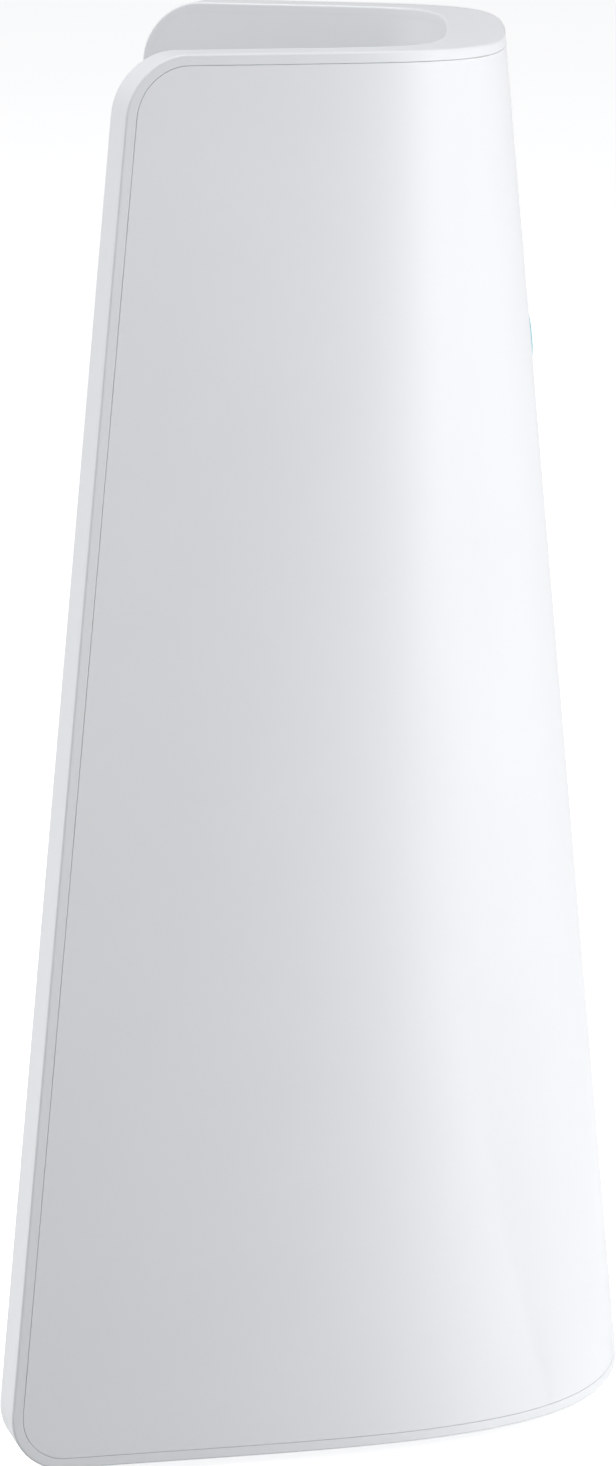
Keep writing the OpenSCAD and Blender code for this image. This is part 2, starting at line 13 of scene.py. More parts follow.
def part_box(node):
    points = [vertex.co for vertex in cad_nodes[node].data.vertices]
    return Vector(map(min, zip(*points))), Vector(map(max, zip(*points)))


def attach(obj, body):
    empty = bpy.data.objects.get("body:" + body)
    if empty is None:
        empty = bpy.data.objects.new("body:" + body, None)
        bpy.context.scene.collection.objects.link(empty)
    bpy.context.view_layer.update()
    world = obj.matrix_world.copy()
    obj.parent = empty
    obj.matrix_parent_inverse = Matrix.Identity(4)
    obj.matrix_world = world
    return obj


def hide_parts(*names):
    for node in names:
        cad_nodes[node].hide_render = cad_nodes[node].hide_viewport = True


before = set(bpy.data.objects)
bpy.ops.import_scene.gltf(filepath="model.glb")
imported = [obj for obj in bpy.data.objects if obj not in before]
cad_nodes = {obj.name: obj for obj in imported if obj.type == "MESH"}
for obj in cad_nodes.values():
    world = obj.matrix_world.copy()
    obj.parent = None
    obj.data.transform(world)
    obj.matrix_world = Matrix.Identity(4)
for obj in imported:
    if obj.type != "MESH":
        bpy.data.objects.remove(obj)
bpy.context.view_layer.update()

MM = 0.001
SAME = 1e-7                 # metres: points closer than this are one point
WELD = 0.005 * MM           # the same for meshes that come from the CAD

# ---- The slab, as the model makes it ----

FOOT_H = 2 * MM
BODY_H = 260 * MM
DEPTH_LOW = 117 * MM
HALF_W_LOW, HALF_W_TOP = 78 * MM, 76 * MM
NOSE_LEAN, TIP_LEAN = 24.8 * MM, 23.2 * MM
SPLAY_LOW, SPLAY_TOP = math.radians(16), math.radians(17)
NOSE_PULL_LOW, NOSE_PULL_TOP = 60 * MM, 70 * MM
WING_PULL_LOW, WING_PULL_TOP = 62 * MM, 60 * MM
SLAB_T = 11 * MM
CORNER_R = 11 * MM
SKIN_T = 1.8 * MM
RIM_W = 2 * MM
FRONT_SEAM, FRONT_LIP = 0.06 * MM, 0.10 * MM    # gap beside the front cover, rounding along it
REAR_SEAM, REAR_LIP = 0.01 * MM, 0.01 * MM
EDGE_R = 0.45 * MM      # rounding of the slab's own edges
SKIN_ROOM = 0.1 * MM    # between a cover and the frame's ledge behind it
LEDGE_W = 3 * MM
LEDGE_T = 1.6 * MM
LIGHT_Z = 203.5 * MM
LIGHT_R = 4 * MM

NOSE_Y0 = -DEPTH_LOW / 2
TIP_Y0 = DEPTH_LOW / 2 - SLAB_T * math.sin(SPLAY_LOW) + CORNER_R / BODY_H * TIP_LEAN
BODY_Z0, BODY_Z1 = FOOT_H, FOOT_H + BODY_H

REGULAR_T = 0.93        # curve parameter where the regular columns end
REGULAR_COLUMNS = 46    # on each side of the nose
END_COLUMNS = 7         # between the regular columns and a wing's end
CORNER_ROWS = 12
MIDDLE_ROWS = 40
LIP_STEPS = 5

# ---- What sits on the slab ----

REAR_WINDOW = {"t": 0.31, "z0": 10 * MM, "z1": 143 * MM}    # in the rear cover, for the port housing
BOSS_X = 42.5 * MM
BOSS_ZS = (12 * MM, 63 * MM)
BOSS_R = 3 * MM
BOSS_Y = -18.2 * MM
BOSS_T = 0.45           # curve parameter at the bosses
BOSS_SINK = 1 * MM      # how far a boss starts inside the cover

# curve parameter, and share of the slab's depth
FOOT_SPOTS = ((-0.93, 0.5), (-0.2, 0.6), (0.2, 0.6), (0.93, 0.5))
FOOT_R = 3 * MM

HOLE_GAP = 0.1 * MM     # between the lens and its hole
LENS_FLANGE_W = 1.2 * MM
LENS_BACK, LENS_FLANGE_FRONT = -2.9 * MM, -2.0 * MM
LENS_DOME = 0.25 * MM

PANEL_Y = -16 * MM
FLANGE_DEPTH = 2.3 * MM     # of a button's flange behind the panel's face
FLANGE_T = 1 * MM
BUTTON_R, RESET_R = 4 * MM, 1.8 * MM
STEM_R = 1.5 * MM

# ---- Colour and light ----

WHITE = (0.80, 0.81, 0.83)
FLOOR_GLOW = 0.6
WORLD_LIGHT = 0.36


def mix(a, b, u):
    return a + (b - a) * u


def slab_points(t, z, d):
    """Points of the slab: t from -1 to 1 across, height z, depth d from the outside."""
    t, z, d = np.broadcast_arrays(np.asarray(t, float), np.asarray(z, float), np.asarray(d, float))
    u = (z - FOOT_H) / BODY_H
    splay = mix(SPLAY_LOW, SPLAY_TOP, u)
    pull = mix(WING_PULL_LOW, WING_PULL_TOP, u)
    nose = NOSE_Y0 + NOSE_LEAN * u
    tip_x = mix(HALF_W_LOW, HALF_W_TOP, u)
    tip_y = TIP_Y0 - TIP_LEAN * u
    xs = (0 * u, mix(NOSE_PULL_LOW, NOSE_PULL_TOP, u), tip_x - pull * np.sin(splay), tip_x)
    ys = (nose, nose, tip_y - pull * np.cos(splay), tip_y)
    a = np.abs(t)
    b = 1 - a

    def curve(c):
        return b ** 3 * c[0] + 3 * b * b * a * c[1] + 3 * b * a * a * c[2] + a ** 3 * c[3]

    def slope(c):
        return b * b * (c[1] - c[0]) + 2 * b * a * (c[2] - c[1]) + a * a * (c[3] - c[2])

    vx, vy = slope(xs), slope(ys)
    length = np.hypot(vx, vy)
    x = curve(xs) - d * vy / length
    y = curve(ys) + d * vx / length
    return np.stack([np.where(t < 0, -x, x), y, z], -1)


def row_heights(g):
    """Heights of a skin's rows at inset g, close together round the corners."""
    rises = (CORNER_R - g) * (1 - np.cos(np.linspace(0, math.pi / 2, CORNER_ROWS + 1)))
    low = BODY_Z0 + g + rises
    high = BODY_Z1 - g - rises[::-1]
    return np.concatenate([low, np.linspace(low[-1], high[0], MIDDLE_ROWS + 1)[1:-1], high])


def row_columns(z, g):
    """Curve parameters of the columns of the row at height z, for inset g."""
    r = CORNER_R - g
    rise = min(z - BODY_Z0 - g, BODY_Z1 - g - z)
    round_off = r - math.sqrt(max(0.0, r * r - (r - rise) ** 2)) if rise < r else 0
    pull = mix(WING_PULL_LOW, WING_PULL_TOP, (z - FOOT_H) / BODY_H)
    end = 1 - (g + round_off) / (3 * pull)
    regular = np.arange(-REGULAR_COLUMNS, REGULAR_COLUMNS + 1) / REGULAR_COLUMNS * REGULAR_T
    outer = mix(REGULAR_T, end, np.arange(1, END_COLUMNS + 1) / END_COLUMNS)
    return np.concatenate([-outer[::-1], regular, outer])


def patch(g, d):
    """Rows and columns of points over the slab, at inset g and depth d."""
    return np.array([slab_points(row_columns(z, g), z, d) for z in row_heights(g)])


def border(grid):
    """The outermost points of a grid, in order round it."""
    return np.concatenate([grid[0], grid[1:-1, -1], grid[-1][::-1], grid[1:-1, 0][::-1]])


def rounded(corners, closed=False, steps=6):
    """A polyline of (x, y, radius) corners with each radius turned into an arc."""
    out = []
    count = len(corners)
    for i, (x, y, r) in enumerate(corners):
        p = np.array([x, y])
        if not r or (not closed and i in (0, count - 1)):
            out.append(p)
            continue
        before = np.array(corners[i - 1][:2]) - p
        after = np.array(corners[(i + 1) % count][:2]) - p
        before = before / np.linalg.norm(before)
        after = after / np.linalg.norm(after)
        half = math.acos(float(np.clip(before @ after, -1, 1))) / 2
        middle = before + after
        centre = p + middle / np.linalg.norm(middle) * r / math.sin(half)
        a = p + before * r / math.tan(half) - centre
        b = p + after * r / math.tan(half) - centre
        turn = math.pi - 2 * half
        for k in range(steps + 1):
            share = k / steps
            arc = math.sin((1 - share) * turn) * a + math.sin(share * turn) * b
            out.append(centre + arc / math.sin(turn))
    return np.array(out)


# ---- Meshes ----


class Build:
    """Collects points and faces for one mesh."""

    def __init__(self):
        self.points = []
        self.faces = []

    def add(self, points):
        start = len(self.points)
        points = np.asarray(points, float)
        self.points.extend(map(tuple, points.reshape(-1, 3)))
        return np.arange(start, len(self.points)).reshape(points.shape[:-1])

    def grid(self, ids, skip=None):
        for i in range(ids.shape[0] - 1):
            for j in range(ids.shape[1] - 1):
                if skip is None or not skip[i, j]:
                    self.faces.append((ids[i, j], ids[i, j + 1], ids[i + 1, j + 1], ids[i + 1, j]))

    def bridge(self, a, b, closed=True):
        count = len(a)
        for i in range(count if closed else count - 1):
            j = (i + 1) % count
            self.faces.append((a[i], a[j], b[j], b[i]))

    def lathe(self, profile, place, sides=64):
        """A closed turned shape: its profile of (radius, height) runs from the axis to the axis."""
        turns = [2 * math.pi * k / sides for k in range(sides)]
        rings = []
        for r, h in profile:
            if r < SAME:
                ring = [place @ Vector((0, 0, h))]
            else:
                ring = [place @ Vector((r * math.cos(w), r * math.sin(w), h)) for w in turns]
            rings.append(self.add(ring))
        for a, b in zip(rings, rings[1:]):
            if len(a) == 1 and len(b) == 1:
                continue
            if len(a) == 1 or len(b) == 1:
                tip, ring = (a[0], b) if len(a) == 1 else (b[0], a)
                for i in range(sides):
                    self.faces.append((tip, ring[i], ring[(i + 1) % sides]))
            else:
                self.bridge(a, b)

    def piece(self, name, material, body="casing", node=None, slot=None):
        """Makes the object, puts it on its body and hides the CAD node it stands for."""
        mesh = bpy.data.meshes.new(name)
        mesh.from_pydata(self.points, [], [tuple(int(i) for i in f) for f in self.faces])
        bm = bmesh.new()
        bm.from_mesh(mesh)
        bmesh.ops.remove_doubles(bm, verts=bm.verts, dist=SAME)
        bmesh.ops.recalc_face_normals(bm, faces=bm.faces)
        bm.to_mesh(mesh)
        bm.free()
        return settle(name, mesh, material, body, node)


def settle(name, mesh, material, body, node):
    """Puts a finished mesh in the scene as a piece."""
    mesh.materials.clear()
    mesh.materials.append(material)
    for polygon in mesh.polygons:
        polygon.use_smooth = True
    obj = bpy.data.objects.new(name, mesh)
    bpy.context.scene.collection.objects.link(obj)
    if node:
        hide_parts(node)
    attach(obj, body)
    return obj


def weigh_normals(obj):
    modifier = obj.modifiers.new("weighted", "WEIGHTED_NORMAL")
    modifier.keep_sharp = False
    modifier.weight = 60


def soften(obj, width, segments=3, angle=28):
    """Rounds a mesh's sharp edges without touching its own vertices."""
    weld = obj.modifiers.new("weld", "WELD")
    weld.merge_threshold = WELD
    bevel = obj.modifiers.new("edges", "BEVEL")
    bevel.width = width
    bevel.segments = segments
    bevel.limit_method = "ANGLE"
    bevel.angle_limit = math.radians(angle)
    bevel.use_clamp_overlap = True
    weigh_normals(obj)


# ---- Materials ----


class Nodes:
    """A new material with a Principled shader and short calls for its nodes."""

    def __init__(self, name):
        self.material = bpy.data.materials.new(name)
        self.material.use_nodes = True
        self.tree = self.material.node_tree
        self.shader = self.tree.nodes["Principled BSDF"]
        self.place = self.tree.nodes.new("ShaderNodeTexCoord").outputs["Object"]

    def set(self, **sockets):
        for name, value in sockets.items():
            socket = self.shader.inputs[name.replace("_", " ")]
            if isinstance(value, bpy.types.NodeSocket):
                self.tree.links.new(value, socket)
            else:
                socket.default_value = value

    def node(self, kind, inputs=(), **settings):
        node = self.tree.nodes.new("ShaderNode" + kind)
        for key, value in settings.items():
            setattr(node, key, value)
        for key, value in dict(inputs).items():
            if isinstance(value, bpy.types.NodeSocket):
                self.tree.links.new(value, node.inputs[key])
            else:
                node.inputs[key].default_value = value
        return node

    def noise(self, scale, detail=2.0, stretch=(1, 1, 1), roughness=0.5):
        """Noise whose grains are about 1 / scale metres across."""
        place = self.place
        if stretch != (1, 1, 1):
            place = self.node("Mapping", {"Vector": place, "Scale": stretch}).outputs["Vector"]
        return self.node("TexNoise", {"Vector": place, "Scale": scale, "Detail": detail,
                                      "Roughness": roughness}).outputs["Fac"]

    def spread(self, value, low, high, from_low=0.3, from_high=0.7):
        return self.node("MapRange", {"Value": value, "From Min": from_low, "From Max": from_high,
                                      "To Min": low, "To Max": high}).outputs["Result"]

    def blend(self, factor, a, b, mode="MIX"):
        node = self.node("Mix", data_type="RGBA", blend_type=mode)
        for key, value in (("Factor_Float", factor), ("A_Color", a), ("B_Color", b)):
            socket = next(s for s in node.inputs if s.identifier == key)
            if isinstance(value, bpy.types.NodeSocket):
                self.tree.links.new(value, socket)
            else:
                socket.default_value = value if key == "Factor_Float" else (*value[:3], 1)
        return next(s for s in node.outputs if s.identifier == "Result_Color")

    def bump(self, height, distance, strength=1.0, under=None):
        inputs = {"Height": height, "Distance": distance, "Strength": strength}
        if under is not None:
            inputs["Normal"] = under
        return self.node("Bump", inputs).outputs["Normal"]

    def math(self, operation, a, b=0.5):
        return self.node("Math", {0: a, 1: b}, operation=operation).outputs["Value"]


def shade(colour, share):
    return tuple(min(1.0, c * share) for c in colour)


def moulded(name, colour, rough=0.42, grain=0.22, depth=0.012, mottle=0.012, specular=0.45):
    """Satin moulded plastic: a fine spark-eroded grain, and faint clouds in its colour and gloss.

    grain and depth are in mm.
    """
    m = Nodes(name)
    cloud = m.noise(28, detail=3)
    flow = m.noise(9, detail=1, stretch=(1, 1, 0.35))
    tone = m.blend(m.spread(cloud, 0, 1), shade(colour, 1 - mottle), shade(colour, 1 + mottle))
    tone = m.blend(m.spread(flow, 0, 0.35), tone, shade(colour, 1 - 1.6 * mottle))
    coarse = m.noise(1 / (grain * 3 * MM), detail=2)
    fine = m.noise(1 / (grain * MM), detail=2)
    gloss = m.math("ADD", m.spread(cloud, rough - 0.025, rough + 0.025), m.spread(fine, -0.03, 0.03))
    relief = m.bump(coarse, depth * 1.6 * MM, 0.5)
    m.set(Base_Color=tone, Roughness=gloss, Normal=m.bump(fine, depth * MM, 0.6, relief))
    m.set(Specular_IOR_Level=specular)
    return m


def metal(name, colour, rough=0.3, stretch=(1, 1, 14), scale=900, depth=0.003):
    """Plated or drawn metal with fine lines along one way and a little tarnish."""
    m = Nodes(name)
    lines = m.noise(scale, detail=3, stretch=stretch)
    stain = m.noise(120, detail=4)
    tone = m.blend(m.spread(stain, 0, 1), shade(colour, 0.88), colour)
    m.set(Base_Color=tone, Roughness=m.spread(lines, rough - 0.07, rough + 0.09),
          Normal=m.bump(lines, depth * MM, 0.6))
    m.set(Metallic=1.0)
    return m.material


def rubber():
    """Moulded rubber: matte, a little dusty on its raised grain."""
    m = Nodes("rubber")
    grain = m.noise(2600, detail=3)
    dust = m.noise(300, detail=4)
    tone = m.blend(m.spread(dust, 0, 1), (0.20, 0.205, 0.21), (0.30, 0.305, 0.31))
    m.set(Base_Color=tone, Roughness=m.spread(grain, 0.62, 0.82), Normal=m.bump(grain, 0.02 * MM, 0.7))
    m.set(Specular_IOR_Level=0.3)
    return m.material


def label_film():
    """A blank printed film: faint fibres, a thin grey frame line inside its edge."""
    m = Nodes("label_film")
    low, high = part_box("label_plate")
    centre, half = (low + high) / 2, (high - low) / 2
    offset = m.node("VectorMath", {0: m.place, 1: centre}, operation="SUBTRACT").outputs["Vector"]
    parts = m.node("SeparateXYZ", {"Vector": offset})
    across = m.math("SUBTRACT", half.x, m.math("ABSOLUTE", parts.outputs["X"]))
    up = m.math("SUBTRACT", half.z, m.math("ABSOLUTE", parts.outputs["Z"]))
    inside = m.math("MINIMUM", across, up)
    line = m.math("COMPARE", inside, 0.8 * MM)
    line.node.inputs[2].default_value = 0.09 * MM
    fibre = m.noise(900, detail=3, stretch=(1, 1, 3))
    paper = m.blend(m.spread(fibre, 0, 1), (0.62, 0.63, 0.64), (0.70, 0.705, 0.71))
    m.set(Base_Color=m.blend(line, paper, (0.30, 0.31, 0.32)), Roughness=m.spread(fibre, 0.36, 0.5),
          Normal=m.bump(fibre, 0.006 * MM, 0.5))
    return m.material


def board_mask(name, colour, copper, density=520):
    """A circuit board: solder mask over copper tracks, with small plated vias."""
    m = Nodes(name)
    cells = m.node("TexVoronoi", {"Vector": m.place, "Scale": density}, distance="CHEBYCHEV")
    track = m.spread(cells.outputs["Distance"], 0, 1, 0.36, 0.42)
    weave = m.noise(2200, detail=2)
    mask = m.blend(m.spread(weave, 0, 1), shade(colour, 0.86), colour)
    via = m.node("TexVoronoi", {"Vector": m.place, "Scale": density * 0.45}).outputs["Distance"]
    dots = m.spread(via, 1, 0, 0.10, 0.13)
    tone = m.blend(track, mask, shade(colour, 1.5))
    m.set(Base_Color=m.blend(dots, tone, copper), Roughness=m.spread(weave, 0.24, 0.36),
          Normal=m.bump(track, 0.03 * MM, 0.5))
    m.set(Coat_Weight=0.25, Coat_Roughness=0.12)
    return m.material


def chip_epoxy():
    m = Nodes("chip_epoxy")
    speck = m.noise(3200, detail=3)
    tone = m.blend(m.spread(speck, 0, 1), (0.012, 0.012, 0.013), (0.03, 0.03, 0.032))
    m.set(Base_Color=tone, Roughness=m.spread(speck, 0.42, 0.6), Normal=m.bump(speck, 0.012 * MM, 0.6))
    return m.material


def lens_glow():
    """The lit lens: teal, a little brighter in its middle, with a frosted, slightly uneven skin."""
    m = Nodes("lens_glow")
    away = m.node("VectorMath", {0: m.place, 1: light_place().translation},
                  operation="DISTANCE").outputs["Value"]
    frost = m.noise(1800, detail=2)
    lit = m.blend(m.spread(away, 0, 1, 0.2 * MM, LIGHT_R), (0.06, 0.22, 0.27), (0.02, 0.10, 0.13))
    tone = m.blend(m.spread(frost, 0, 1), (0.20, 0.42, 0.48), (0.24, 0.46, 0.52))
    m.set(Base_Color=tone, Roughness=m.spread(frost, 0.26, 0.36), Emission_Color=lit,
          Emission_Strength=m.spread(frost, 0.85, 1.0), Normal=m.bump(frost, 0.01 * MM, 0.4))
    return m.material


def lit_cover(colour):
    """The front cover's plastic, with the status light's glow through it painted into its colour as a
    soft wide teal halo.
    """
    m = moulded("cover_plastic", colour)
    offset = m.node("VectorMath", {0: m.place, 1: light_place().translation}, operation="SUBTRACT")
    squeezed = m.node("VectorMath", {0: offset.outputs["Vector"], 1: (0.75, 1, 1)},
                      operation="MULTIPLY")
    away = m.node("VectorMath", {0: squeezed.outputs["Vector"]}, operation="LENGTH").outputs["Value"]
    # painted glow: a teal tint multiplied into the base colour round the light, standing in for light
    # shining through the cover
    painted_glow = m.node("MapRange", {"Value": away, "From Min": LIGHT_R, "From Max": 2 * LIGHT_R,
                               "To Min": 1.0, "To Max": 0.0},
                  interpolation_type="SMOOTHSTEP").outputs["Result"]
    plain = m.shader.inputs["Base Color"].links[0].from_socket
    m.set(Base_Color=m.blend(painted_glow, plain, (0.78, 0.94, 0.97), "MULTIPLY"))
    return m.material


def floor_paper():
    m = Nodes("floor_paper")
    cloud = m.noise(3, detail=2)
    tone = m.blend(m.spread(cloud, 0, 1), (0.93, 0.935, 0.94), (0.95, 0.952, 0.955))
    m.set(Base_Color=tone, Roughness=m.spread(m.noise(500), 0.7, 0.8))
    m.set(Specular_IOR_Level=0.15, Emission_Color=(1.0, 1.0, 1.0, 1.0), Emission_Strength=FLOOR_GLOW)
    return m.material


# ---- Places ----


def light_place():
    """The light on the nose, with +Z pointing out of the cover."""
    lean = math.atan(NOSE_LEAN / BODY_H)
    spot = Vector(slab_points(0, LIGHT_Z, 0).tolist())
    return Matrix.Translation(spot) @ Matrix.Rotation(math.pi / 2 - lean, 4, "X")


def facing_rear(x, y, z):
    """A place with +Z pointing to the rear."""
    return Matrix.Translation((x, y, z)) @ Matrix.Rotation(-math.pi / 2, 4, "X")


# ---- Casing ----


def skin(face_d, back_d, gap, lip, cut=None):
    """A closed shell over the slab between two depths, gap short of the frame, its face's edge rounded.

    cut leaves out a window: curve parameters up to t on both sides, heights from z0 to z1.
    """
    g = RIM_W + gap
    way = 1 if back_d > face_d else -1
    build = Build()
    face = build.add(patch(g + lip, face_d))
    back = build.add(patch(g, back_d))
    loops = [border(face)]
    for k in range(1, LIP_STEPS + 1):
        a = k / LIP_STEPS * math.pi / 2
        loops.append(build.add(border(patch(g + lip * (1 - math.sin(a)),
                                            face_d + way * lip * (1 - math.cos(a))))))
    loops.append(border(back))
    for a, b in zip(loops, loops[1:]):
        build.bridge(a, b)
    skip = None
    if cut:
        rows = row_heights(g)
        middle = (rows[:-1] + rows[1:]) / 2
        columns = np.arange(face.shape[1] - 1) - (face.shape[1] - 1) / 2 + 0.5
        inside_z = (middle > cut["z0"]) & (middle < cut["z1"])
        inside_t = np.abs(columns) * REGULAR_T / REGULAR_COLUMNS < cut["t"]
        skip = inside_z[:, None] & inside_t[None, :]
        i, j = np.where(inside_z)[0], np.where(inside_t)[0]
        window = (slice(i[0], i[-1] + 2), slice(j[0], j[-1] + 2))
        build.bridge(border(face[window]), border(back[window]))
    build.grid(face, skip)
    build.grid(back, skip)
    return build


def carve(obj, cutter):
    """Cuts cutter out of obj's mesh, and takes cutter away."""
    modifier = obj.modifiers.new("cut", "BOOLEAN")
    modifier.operation = "DIFFERENCE"
    modifier.solver = "EXACT"
    modifier.object = cutter
    bpy.context.view_layer.update()
    seen = obj.evaluated_get(bpy.context.evaluated_depsgraph_get())
    mesh = bpy.data.meshes.new_from_object(seen)
    obj.modifiers.remove(modifier)
    obj.data = mesh
    bpy.data.objects.remove(cutter)
    for polygon in mesh.polygons:
        polygon.use_smooth = True


def front_cover(material):
    build = skin(0, SKIN_T, FRONT_SEAM, FRONT_LIP)
    obj = build.piece("front_cover_shell", material, node="front_cover", slot="cover_plastic")
    drill = Build()
    hole_r, reach = LIGHT_R + HOLE_GAP, 4 * MM
    drill.lathe([(0, -reach), (hole_r, -reach), (hole_r, reach), (0, reach)], light_place())
    cutter = drill.piece("drill", material)
    carve(obj, cutter)
    weigh_normals(obj)


def rear_cover(material):
    build = skin(SLAB_T, SLAB_T - SKIN_T, REAR_SEAM, REAR_LIP, cut=REAR_WINDOW)
    for x in (-BOSS_X, BOSS_X):
        for z in BOSS_ZS:
            foot = slab_points(BOSS_T, z, SLAB_T)[1] - BOSS_SINK
            shape = rounded([(0, foot, 0), (BOSS_R, foot, 0),
                             (BOSS_R, BOSS_Y, 0.3 * MM), (0, BOSS_Y, 0)])
            build.lathe(shape, facing_rear(x, 0, z))
    obj = build.piece("rear_cover_shell", material, node="rear_cover", slot="rear_plastic")
    weigh_normals(obj)


def rim_frame(material):
    """The frame: its rounded channel section, swept round the slab's edge."""
    front = SKIN_T + SKIN_ROOM
    rear = SLAB_T - front
    far = RIM_W + LEDGE_W
    section = rounded([
        (0, 0, EDGE_R), (RIM_W, 0, FRONT_LIP), (RIM_W, front, 0),
        (far, front, 0), (far, front + LEDGE_T, 0), (RIM_W, front + LEDGE_T, 0),
        (RIM_W, rear - LEDGE_T, 0), (far, rear - LEDGE_T, 0), (far, rear, 0),
        (RIM_W, rear, 0), (RIM_W, SLAB_T, REAR_LIP), (0, SLAB_T, EDGE_R)
    ], closed=True, steps=7)
    build = Build()
    loops = [build.add(border(patch(g, d))) for g, d in section]
    for a, b in zip(loops, loops[1:] + loops[:1]):
        build.bridge(a, b)
    obj = build.piece("rim_frame_ring", material, node="rim_frame", slot="frame_plastic")
    weigh_normals(obj)


def port_housing(material):
    """The housing's own shape with its flat faces joined up and its edges rounded."""
    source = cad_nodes["port_housing"].data.copy()
    bm = bmesh.new()
    bm.from_mesh(source)
    bmesh.ops.remove_doubles(bm, verts=bm.verts, dist=WELD)
    bmesh.ops.dissolve_limit(bm, angle_limit=math.radians(0.6), verts=bm.verts, edges=bm.edges)
    bmesh.ops.recalc_face_normals(bm, faces=bm.faces)
    mesh = bpy.data.meshes.new("port_housing_shell")
    bm.to_mesh(mesh)
    bm.free()
    obj = settle("port_housing_shell", mesh, material, "casing", "port_housing")
    soften(obj, 0.35 * MM)


def rubber_feet(material):
    """The pads under the slab, a little hollow in the middle and wider at the top."""
    build = Build()
    profile = rounded([(0, 0.15 * MM, 0), (FOOT_R * 0.5, 0, 0), (FOOT_R - 0.1 * MM, 0, 0.45 * MM),
                       (FOOT_R, FOOT_H, 0), (0, FOOT_H, 0)])
    for t, share in FOOT_SPOTS:
        x, y, _ = slab_points(t, BODY_Z0, share * SLAB_T)
        build.lathe(profile, Matrix.Translation((x, y, 0)))
    weigh_normals(build.piece("foot_pads", material, node="rubber_feet", slot="rubber"))


def status_lens(material):
    """A lens with a low dome, and the flange that holds it behind the cover."""
    flange = LIGHT_R + LENS_FLANGE_W
    profile = rounded([(0, LENS_BACK, 0), (flange, LENS_BACK, 0.1 * MM),
                       (flange, LENS_FLANGE_FRONT, 0.1 * MM), (LIGHT_R, LENS_FLANGE_FRONT, 0),
                       (LIGHT_R, LENS_DOME * 0.2, 0.3 * MM), (LIGHT_R * 0.55, LENS_DOME, 0),
                       (0, LENS_DOME, 0)])
    build = Build()
    build.lathe(profile, light_place())
    weigh_normals(build.piece("lens_dome", material, node="status_lens", slot="lens"))


def button(name, material, dish):
    """A button's rounded, slightly dished cap, its flange and its stem, in its CAD node's own box."""
    low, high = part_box(name)
    x, z = (low.x + high.x) / 2, (low.z + high.z) / 2
    flange_r = (high.x - low.x) / 2
    flange_y = PANEL_Y - FLANGE_DEPTH
    cap_r = RESET_R if name == "reset_button" else BUTTON_R
    back, face = flange_y - FLANGE_T, high.y
    cap_edge = min(0.5 * MM, (face - flange_y) * 0.6)
    profile = rounded([(0, low.y, 0), (STEM_R, low.y, 0.2 * MM), (STEM_R, back, 0),
                       (flange_r, back, 0.15 * MM), (flange_r, flange_y, 0.15 * MM),
                       (cap_r, flange_y, 0), (cap_r, face, cap_edge),
                       (cap_r * 0.6, face - dish * 0.7, 0),
                       (cap_r * 0.3, face - dish, 0), (0, face - dish, 0)])
    build = Build()
    build.lathe(profile, facing_rear(x, 0, z))
    obj = build.piece(name + "_cap", material, body=name, node=name, slot="button_plastic")
    weigh_normals(obj)


def dress(names, material, edge=0.0):
    """Gives CAD nodes that stay as they are their material and softly broken edges."""
    for name in names:
        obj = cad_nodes[name]
        obj.data.materials.clear()
        obj.data.materials.append(material)
        if edge:
            soften(obj, edge, segments=2)


# ---- Stage ----


def softbox(name, place, target, size, power):
    data = bpy.data.lights.new(name, "AREA")
    data.shape = "RECTANGLE"
    data.size, data.size_y = size
    data.energy = power
    obj = bpy.data.objects.new(name, data)
    obj.location = place
    obj.rotation_mode = "QUATERNION"
    obj.rotation_quaternion = (Vector(place) - Vector(target)).to_track_quat("Z", "Y")
    obj.visible_camera = False
    bpy.context.scene.collection.objects.link(obj)


def studio():
    build = Build()
    reach = 15
    build.grid(build.add([[(x, y, 0) for x in np.linspace(-reach, reach, 7)]
                          for y in np.linspace(-reach, reach, 7)]))
    floor_mesh = bpy.data.meshes.new("floor")
    floor_mesh.from_pydata(build.points, [], [tuple(int(i) for i in f) for f in build.faces])
    floor_mesh.materials.append(floor_paper())
    floor = bpy.data.objects.new("floor", floor_mesh)
    floor.visible_diffuse = False       # the room's even light, not the floor's, falls on the node
    bpy.context.scene.collection.objects.link(floor)

    world = bpy.data.worlds.new("studio")
    world.use_nodes = True
    world.node_tree.nodes["Background"].inputs["Color"].default_value = (0.97, 0.985, 1.0, 1)
    world.node_tree.nodes["Background"].inputs["Strength"].default_value = WORLD_LIGHT
    bpy.context.scene.world = world
    bpy.context.scene.view_settings.view_transform = "Standard"

    middle = (0, -0.03, 0.13)
    softbox("nose_strip", (-0.2, -0.3, 0.14), middle, (0.15, 0.8), 1.5)
    softbox("front", (-0.1, -0.45, 0.14), middle, (0.3, 0.8), 0.16)
    softbox("rear", (-0.28, 1.48, 0.9), middle, (1.2, 1.2), 12.5)
    softbox("top", (0.01, 0, 1.83), middle, (1.2, 1.2), 3.3)
    softbox("top_back", (0, 0.4, 1.8), middle, (1.2, 1.2), 10)


def camera():
    """Looks at the side of one wing, from a little above."""
    azimuth, pitch, roll = (math.radians(a) for a in (270.79, 11.32, 0.26))
    aim, distance = Vector((0, 2.79, 125.9)) * MM, 1077.8 * MM
    back = Vector((math.sin(azimuth) * math.cos(pitch), -math.cos(azimuth) * math.cos(pitch),
                   math.sin(pitch)))
    level = (-back).cross(Vector((0, 0, 1))).normalized()
    upright = level.cross(-back)
    right = level * math.cos(roll) + upright * math.sin(roll)
    up = upright * math.cos(roll) - level * math.sin(roll)
    data = bpy.data.cameras.new("camera")
    data.lens = 136.9
    data.sensor_width = 36
    data.clip_start, data.clip_end = 0.05, 60
    obj = bpy.data.objects.new("camera", data)
    turn = Matrix((right, up, back)).transposed().to_4x4()
    obj.matrix_world = Matrix.Translation(aim + back * distance) @ turn
    bpy.context.scene.collection.objects.link(obj)
    bpy.context.scene.camera = obj


# ---- The node ----

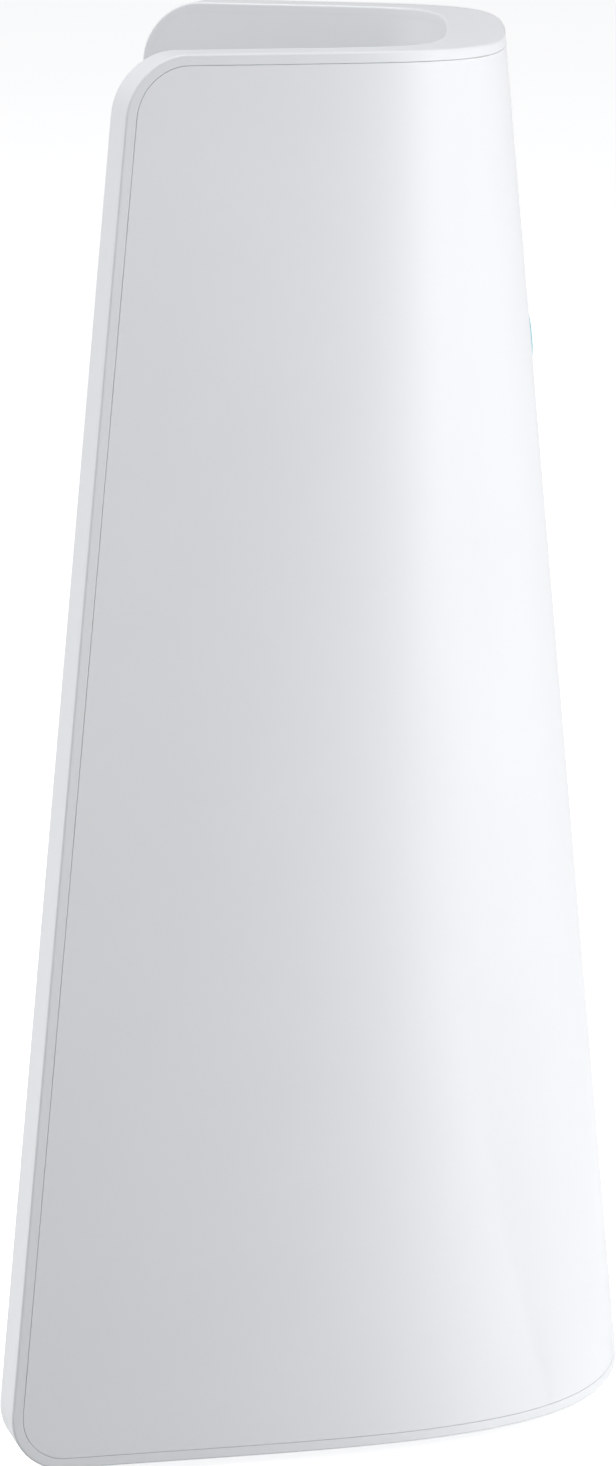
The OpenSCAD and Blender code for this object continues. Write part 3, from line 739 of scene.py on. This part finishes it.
front_cover(lit_cover(WHITE))
rim_frame(moulded("frame_plastic", shade(WHITE, 0.99)).material)
rear_cover(moulded("rear_plastic", WHITE).material)
port_housing(moulded("housing_plastic", (0.77, 0.78, 0.80), grain=0.3, depth=0.02).material)
rubber_feet(rubber())
status_lens(lens_glow())
caps = moulded("button_plastic", (0.72, 0.73, 0.75), rough=0.36, grain=0.18, depth=0.006).material
button("power_button", caps, dish=0.25 * MM)
button("sync_button", caps, dish=0.2 * MM)
button("reset_button", caps, dish=0)

dark = moulded("dark_plastic", (0.022, 0.023, 0.025), rough=0.45, grain=0.25, depth=0.015,
               mottle=0.12).material
dress(["light_shroud", "tact_switches", "power_jack"], dark, 0.15 * MM)
dress(["label_plate"], label_film(), 0.05 * MM)
green = board_mask("circuit_board", (0.02, 0.12, 0.07), (0.80, 0.60, 0.32))
dress(["light_board", "main_board"], green, 0.08 * MM)
dress(["status_led"], moulded("led_package", (0.80, 0.79, 0.70), rough=0.3, grain=0.1,
                              depth=0.004).material, 0.1 * MM)
dress(["light_ribbon"], moulded("ribbon_film", (0.55, 0.30, 0.07), rough=0.22, grain=0.5, depth=0.004,
                                mottle=0.06).material)
dress(["heat_sink"], metal("aluminium", (0.72, 0.73, 0.75), rough=0.38), 0.12 * MM)
dress(["thermal_pads"], moulded("thermal_pad", (0.32, 0.42, 0.55), rough=0.7, grain=0.4, depth=0.03,
                                mottle=0.05).material, 0.08 * MM)
dress(["processor_chips", "memory_chips", "lan_magnetics", "capacitors"], chip_epoxy(), 0.12 * MM)
steel = metal("steel", (0.66, 0.67, 0.69), rough=0.28, stretch=(1, 6, 1), scale=1400)
dress(["shield_cans", "power_jack_pin"], steel, 0.1 * MM)
dress(["board_screws", "housing_screws", "heat_sink_screws"], steel, 0.07 * MM)
dress(["wan_jack"], moulded("wan_plastic", (0.06, 0.16, 0.42), rough=0.4, grain=0.25, depth=0.01,
                            mottle=0.05).material, 0.18 * MM)
dress(["lan_jacks"], moulded("lan_plastic", (0.62, 0.37, 0.05), rough=0.4, grain=0.25, depth=0.01,
                             mottle=0.05).material, 0.18 * MM)
dress(["jack_contacts", "coax_plugs"], metal("gold", (0.90, 0.66, 0.28), rough=0.2, stretch=(1, 8, 1)),
      0.06 * MM)
dress(["threaded_inserts"], metal("brass", (0.75, 0.55, 0.22), rough=0.3), 0.08 * MM)
antenna = board_mask("antenna_board", (0.015, 0.018, 0.022), (0.78, 0.52, 0.30), density=300)
dress(["low_band_antennas", "high_band_antennas", "backhaul_antennas"], antenna, 0.08 * MM)
dress(["antenna_holders"], moulded("clear_plastic", (0.62, 0.63, 0.64), rough=0.3, grain=0.3,
                                   depth=0.008).material, 0.15 * MM)
dress(["coax_leads"], moulded("coax_jacket", (0.03, 0.03, 0.033), rough=0.5, grain=0.15, depth=0.006,
                              mottle=0.1).material)

studio()
camera()
